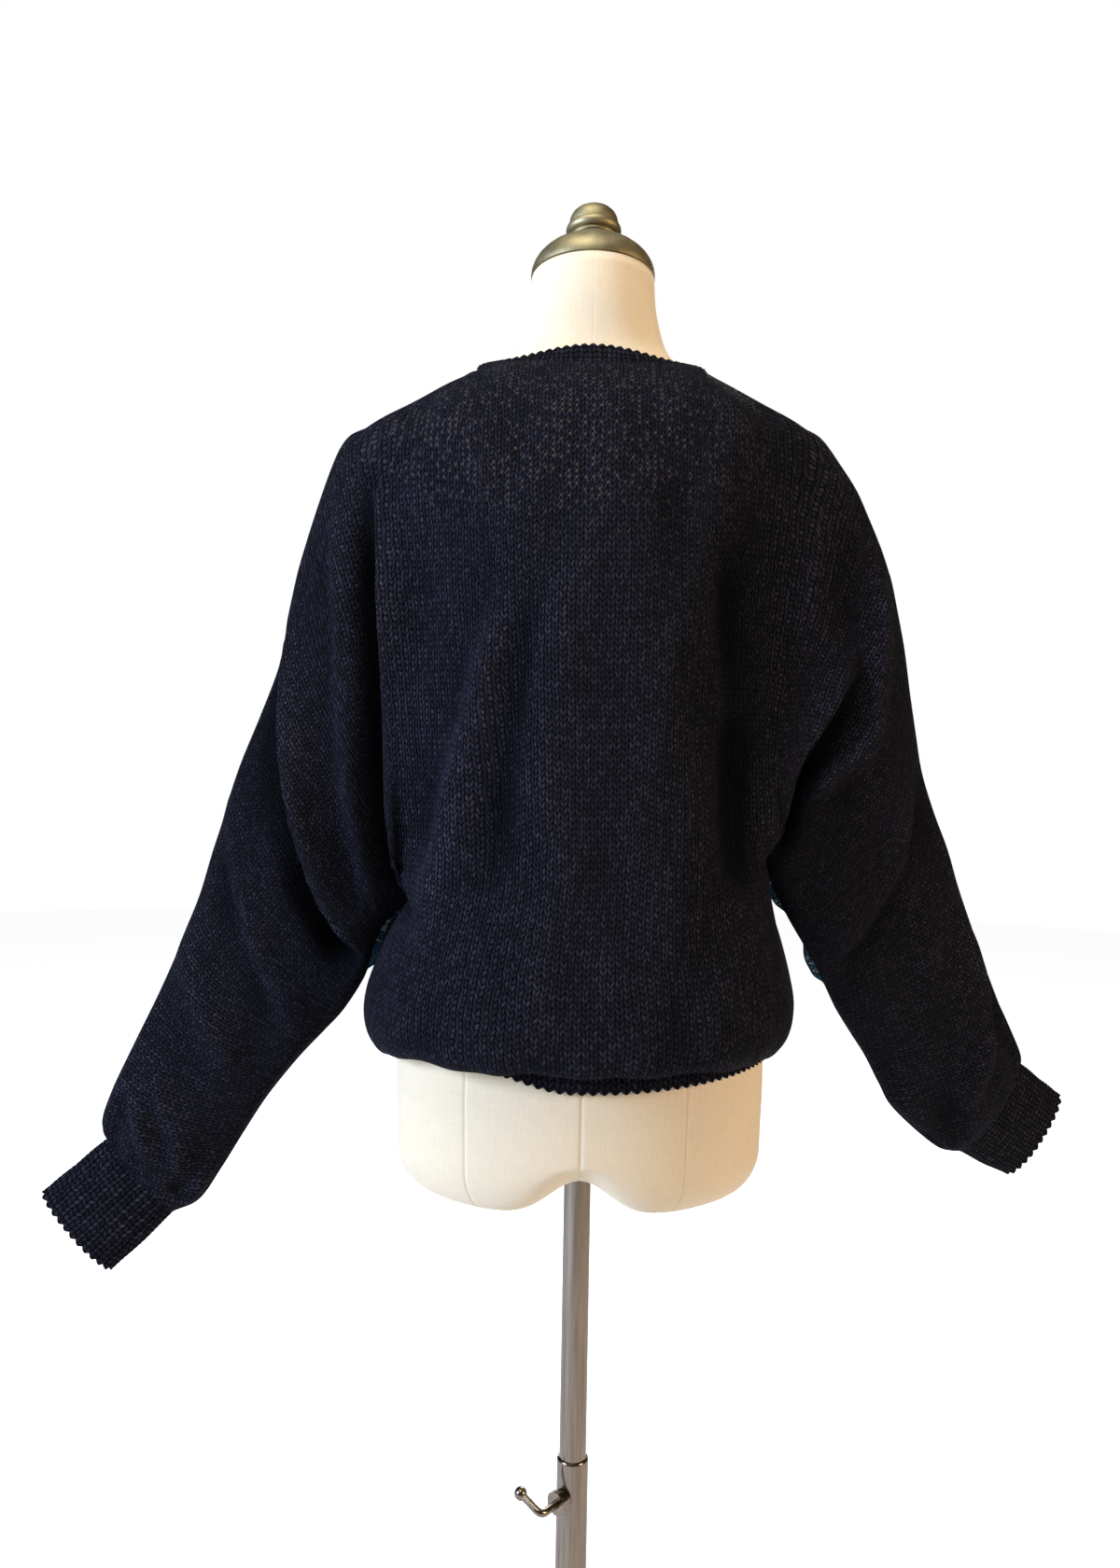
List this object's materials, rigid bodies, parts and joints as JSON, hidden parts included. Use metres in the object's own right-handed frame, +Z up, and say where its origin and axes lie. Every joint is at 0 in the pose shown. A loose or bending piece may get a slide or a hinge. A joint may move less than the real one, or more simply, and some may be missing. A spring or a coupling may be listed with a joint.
{
  "type": "knit sweater on a dress form",
  "caption": "Loose batwing pullover in black knit, worn by a limbless dress form that slides up and down on a clamped stand.",
  "frame": {"origin": "middle of the base plate's underside, on the pole's axis", "axes": "+Z up, the form and the pullover face -Y, the wearer's left is +X"},
  "size_m": [1.0321, 0.36, 1.6452],
  "materials": {
    "knit": "black stockinette knit, softly shining yarn",
    "rib": "black ribbed knit",
    "linen": "cream linen cover, plain weave",
    "brass": "aged antique brass",
    "steel": "brushed nickel-plated steel"
  },
  "bodies": {
    "stand": {"base_plate": "steel", "base_socket": "steel", "lower_pole": "steel", "clamp_nut": "steel"},
    "mast": {"upper_pole": "steel", "form_torso": "linen", "neck_cap": "brass", "finial": "brass", "sweater_back": "knit", "sweater_front": "knit", "cuff_left": "rib", "cuff_right": "rib", "neckband": "rib", "hem_band": "rib"},
    "lever": {"clamp_lever": "steel"}
  },
  "joints": [
    {"name": "mast_height", "type": "slide", "parent": "stand", "child": "mast", "axis": [0, 0, 1], "range_m": [-0.24, 0.13]},
    {"name": "lever_turn", "type": "hinge", "parent": "stand", "child": "lever", "pos_m": [0, 0, 0.423], "axis": [0.6347, 0.7727, 0], "range_deg": [-180, 90]}
  ]
}
